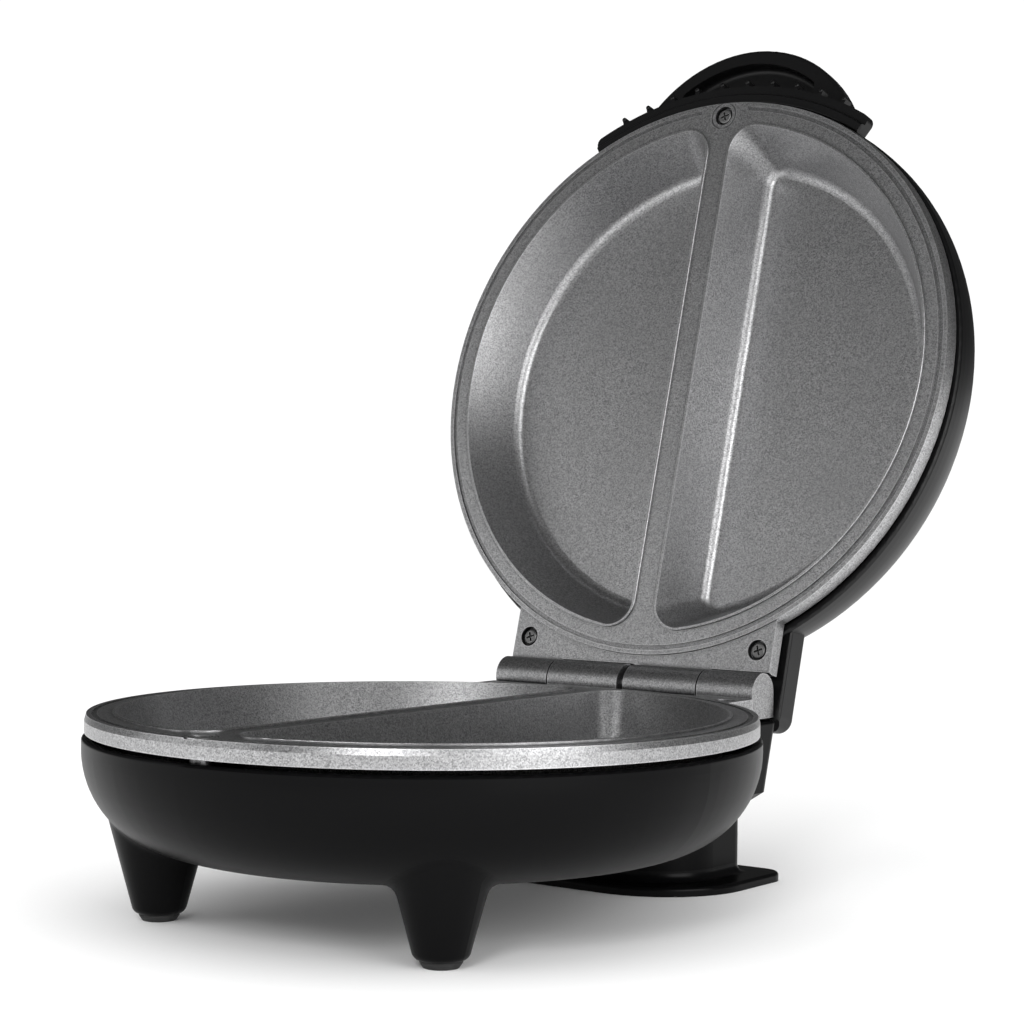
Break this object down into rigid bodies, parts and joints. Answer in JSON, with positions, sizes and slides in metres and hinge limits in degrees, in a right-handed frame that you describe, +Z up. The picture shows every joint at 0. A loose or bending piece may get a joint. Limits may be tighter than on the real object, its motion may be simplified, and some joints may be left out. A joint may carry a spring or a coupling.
{
  "type": "electric omelette griddle",
  "caption": "Round clamshell electric griddle with a hinged lid, divided non-stick plates, a crescent handle, front legs and a rear stand.",
  "frame": {"origin": "on the table plane, straight below the centre of the round base bowl", "axes": "+Z up, -Y towards the user and the handle of the closed lid, +Y towards the hinge, +X to the user's right"},
  "size_m": [0.1928, 0.284, 0.2699],
  "materials": {
    "black_housing": "smooth semi-gloss black moulding",
    "black_foot": "smooth semi-gloss black moulding",
    "zinc_steel": "zinc-plated screws",
    "dark_screw": "blackened steel screws",
    "rubber": "matt black rubber",
    "terminal_plastic": "off-white heat-resisting plastic",
    "nonstick_casting": "speckled grey non-stick coating on cast aluminium",
    "pin_steel": "ground steel pin",
    "element_sheath": "heat-stained stainless sheath",
    "ceramic": "white ceramic bush",
    "tab_steel": "plated push-on tab",
    "clamp_steel": "stamped steel",
    "shield_sheet": "thin aluminised sheet",
    "fuse_sleeve": "woven glass-fibre sleeve",
    "thermostat_metal": "pressed cap and case",
    "lead_silicone": "silicone-insulated leads",
    "red_lens": "red translucent lens",
    "green_lens": "green translucent lens",
    "lamp_glass": "small glass neon lamps"
  },
  "bodies": {
    "base": {"base_housing": "black_housing", "rear_foot_plate": "black_foot", "foot_plate_screws": "zinc_steel", "foot_pads": "rubber", "cord_gland": "rubber", "terminal_block": "terminal_plastic", "terminal_block_screws": "zinc_steel", "base_cooking_plate": "nonstick_casting", "base_plate_screws": "dark_screw", "hinge_pin": "pin_steel", "base_heating_element": "element_sheath", "base_element_bushes": "ceramic", "base_element_tabs": "tab_steel", "base_element_clamps": "clamp_steel", "base_clamp_screws": "zinc_steel", "base_heat_shield": "shield_sheet", "base_shield_screws": "zinc_steel", "base_thermal_fuse": "fuse_sleeve", "base_fuse_clip": "clamp_steel", "base_fuse_screw": "zinc_steel", "thermostat": "thermostat_metal", "thermostat_bracket": "clamp_steel", "thermostat_screws": "zinc_steel", "base_leads": "lead_silicone"},
    "lid": {"lid_housing": "black_housing", "lid_cooking_plate": "nonstick_casting", "lid_plate_screws": "dark_screw", "lid_heating_element": "element_sheath", "lid_element_bushes": "ceramic", "lid_element_tabs": "tab_steel", "lid_element_clamps": "clamp_steel", "lid_clamp_screws": "zinc_steel", "lid_heat_shield": "shield_sheet", "lid_shield_screws": "zinc_steel", "lid_thermal_fuse": "fuse_sleeve", "lid_fuse_clip": "clamp_steel", "lid_fuse_screw": "zinc_steel", "power_lamp_lens": "red_lens", "ready_lamp_lens": "green_lens", "lamp_holder": "terminal_plastic", "indicator_lamps": "lamp_glass", "lamp_holder_screws": "zinc_steel"}
  },
  "joints": [
    {"name": "lid_hinge", "type": "hinge", "parent": "base", "child": "lid", "pos_m": [0, 0.1044, 0.05845], "axis": [1, 0, 0], "range_deg": [0, 105.4]}
  ]
}
